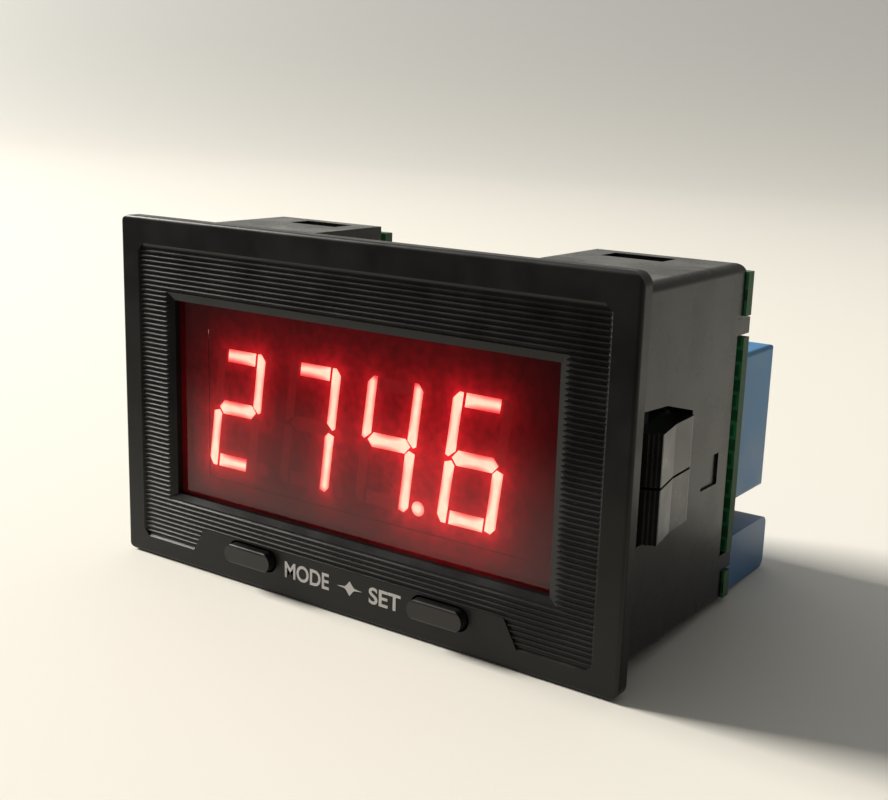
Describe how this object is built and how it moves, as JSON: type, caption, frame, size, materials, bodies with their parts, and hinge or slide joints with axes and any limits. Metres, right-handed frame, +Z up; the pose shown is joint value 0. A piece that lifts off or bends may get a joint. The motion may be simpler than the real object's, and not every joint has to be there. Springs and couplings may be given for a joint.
{
  "type": "digital panel meter",
  "caption": "Snap-in panel meter: ribbed bezel with tinted LED display and two keys, open-backed housing with spring clips, rear board with potted transformer and screw terminals.",
  "frame": {"origin": "centre of the panel opening, on the plane of the bezel lip's back face that rests on the panel", "axes": "+X to the right seen from the front, +Y into the panel towards the terminals, +Z up; the display faces -Y"},
  "size_m": [0.0794, 0.0502, 0.0476],
  "materials": {
    "bezel_plastic": "moulded ABS, satin",
    "tinted_window": "smoked red acrylic",
    "display_face": "matt black",
    "lit_segment": "lit diffuser",
    "dark_segment": "unlit diffuser",
    "key_plastic": "moulded, fine grain",
    "switch_plunger": "moulded",
    "switch_body": "moulded",
    "circuit_board": "green solder resist on glass epoxy",
    "chip_epoxy": "moulded epoxy",
    "tinned_metal": "tinned",
    "gold_pins": "flash plated",
    "housing_plastic": "moulded ABS, slightly glossy",
    "clip_plastic": "moulded acetal",
    "transformer_blue": "potting shell, satin",
    "terminal_blue": "moulded",
    "screw_steel": "zinc plated",
    "clamp_brass": "plated",
    "capacitor_sleeve": "heat-shrink sleeve",
    "varistor_blue": "dipped epoxy",
    "resistor_body": "lacquered"
  },
  "bodies": {
    "meter": {"front_bezel": "bezel_plastic", "display_window": "tinted_window", "display_module": "display_face", "lit_segments": "lit_segment", "unlit_segments": "dark_segment", "mode_switch": "switch_body", "set_switch": "switch_body", "display_board": "circuit_board", "microcontroller": "chip_epoxy", "microcontroller_leads": "tinned_metal", "header_strip": "switch_body", "header_pins": "gold_pins", "rear_housing": "housing_plastic", "main_board": "circuit_board", "transformer": "transformer_blue", "transformer_pins": "tinned_metal", "terminal_block": "terminal_blue", "terminal_pins": "tinned_metal", "filter_capacitor": "capacitor_sleeve", "output_capacitor": "capacitor_sleeve", "bridge_rectifier": "chip_epoxy", "voltage_regulator": "chip_epoxy", "varistor": "varistor_blue", "range_resistor": "resistor_body"},
    "mode_key": {"mode_button": "key_plastic", "mode_plunger": "switch_plunger"},
    "set_key": {"set_button": "key_plastic", "set_plunger": "switch_plunger"},
    "right_upper_clip": {"clip_right_upper": "clip_plastic"},
    "right_lower_clip": {"clip_right_lower": "clip_plastic"},
    "left_upper_clip": {"clip_left_upper": "clip_plastic"},
    "left_lower_clip": {"clip_left_lower": "clip_plastic"},
    "screw_1": {"terminal_screw_1": "screw_steel"},
    "clamp_1": {"terminal_clamp_1": "clamp_brass"},
    "screw_2": {"terminal_screw_2": "screw_steel"},
    "clamp_2": {"terminal_clamp_2": "clamp_brass"},
    "screw_3": {"terminal_screw_3": "screw_steel"},
    "clamp_3": {"terminal_clamp_3": "clamp_brass"},
    "screw_4": {"terminal_screw_4": "screw_steel"},
    "clamp_4": {"terminal_clamp_4": "clamp_brass"}
  },
  "joints": [
    {"name": "mode_press", "type": "slide", "parent": "meter", "child": "mode_key", "axis": [0, 1, 0], "range_m": [0, 0.00035], "stiffness_N_per_m": 4000, "springref_m": -0.0002},
    {"name": "set_press", "type": "slide", "parent": "meter", "child": "set_key", "axis": [0, 1, 0], "range_m": [0, 0.00035], "stiffness_N_per_m": 4000, "springref_m": -0.0002},
    {"name": "right_upper_snap", "type": "hinge", "parent": "meter", "child": "right_upper_clip", "pos_m": [0.03515, 0.018, 0.00245], "axis": [0, 0, -1], "range_deg": [0, 8.5], "stiffness_Nm_per_rad": 0.05, "springref_deg": -8.59},
    {"name": "right_lower_snap", "type": "hinge", "parent": "meter", "child": "right_lower_clip", "pos_m": [0.03515, 0.018, -0.0041], "axis": [0, 0, -1], "range_deg": [0, 8.5], "stiffness_Nm_per_rad": 0.05, "springref_deg": -8.59},
    {"name": "left_upper_snap", "type": "hinge", "parent": "meter", "child": "left_upper_clip", "pos_m": [-0.03515, 0.018, 0.00245], "axis": [0, 0, 1], "range_deg": [0, 8.5], "stiffness_Nm_per_rad": 0.05, "springref_deg": -8.59},
    {"name": "left_lower_snap", "type": "hinge", "parent": "meter", "child": "left_lower_clip", "pos_m": [-0.03515, 0.018, -0.0041], "axis": [0, 0, 1], "range_deg": [0, 8.5], "stiffness_Nm_per_rad": 0.05, "springref_deg": -8.59},
    {"name": "screw_turn_1", "type": "hinge", "parent": "meter", "child": "screw_1", "pos_m": [0.01932, 0.0413, -0.01765], "axis": [0, -1, 0], "range_deg": [0, 1296]},
    {"name": "clamp_lift_1", "type": "slide", "parent": "meter", "child": "clamp_1", "axis": [0, 1, 0], "range_m": [0, 0.0018]},
    {"name": "screw_turn_2", "type": "hinge", "parent": "meter", "child": "screw_2", "pos_m": [0.0244, 0.0413, -0.01765], "axis": [0, -1, 0], "range_deg": [0, 1296]},
    {"name": "clamp_lift_2", "type": "slide", "parent": "meter", "child": "clamp_2", "axis": [0, 1, 0], "range_m": [0, 0.0018]},
    {"name": "screw_turn_3", "type": "hinge", "parent": "meter", "child": "screw_3", "pos_m": [0.02948, 0.0413, -0.01765], "axis": [0, -1, 0], "range_deg": [0, 1296]},
    {"name": "clamp_lift_3", "type": "slide", "parent": "meter", "child": "clamp_3", "axis": [0, 1, 0], "range_m": [0, 0.0018]},
    {"name": "screw_turn_4", "type": "hinge", "parent": "meter", "child": "screw_4", "pos_m": [0.03456, 0.0413, -0.01765], "axis": [0, -1, 0], "range_deg": [0, 1296]},
    {"name": "clamp_lift_4", "type": "slide", "parent": "meter", "child": "clamp_4", "axis": [0, 1, 0], "range_m": [0, 0.0018]}
  ],
  "couplings": [
    {"joint": "screw_turn_1", "follows": "clamp_lift_1", "rad_per_m": 12566},
    {"joint": "screw_turn_2", "follows": "clamp_lift_2", "rad_per_m": 12566},
    {"joint": "screw_turn_3", "follows": "clamp_lift_3", "rad_per_m": 12566},
    {"joint": "screw_turn_4", "follows": "clamp_lift_4", "rad_per_m": 12566}
  ]
}
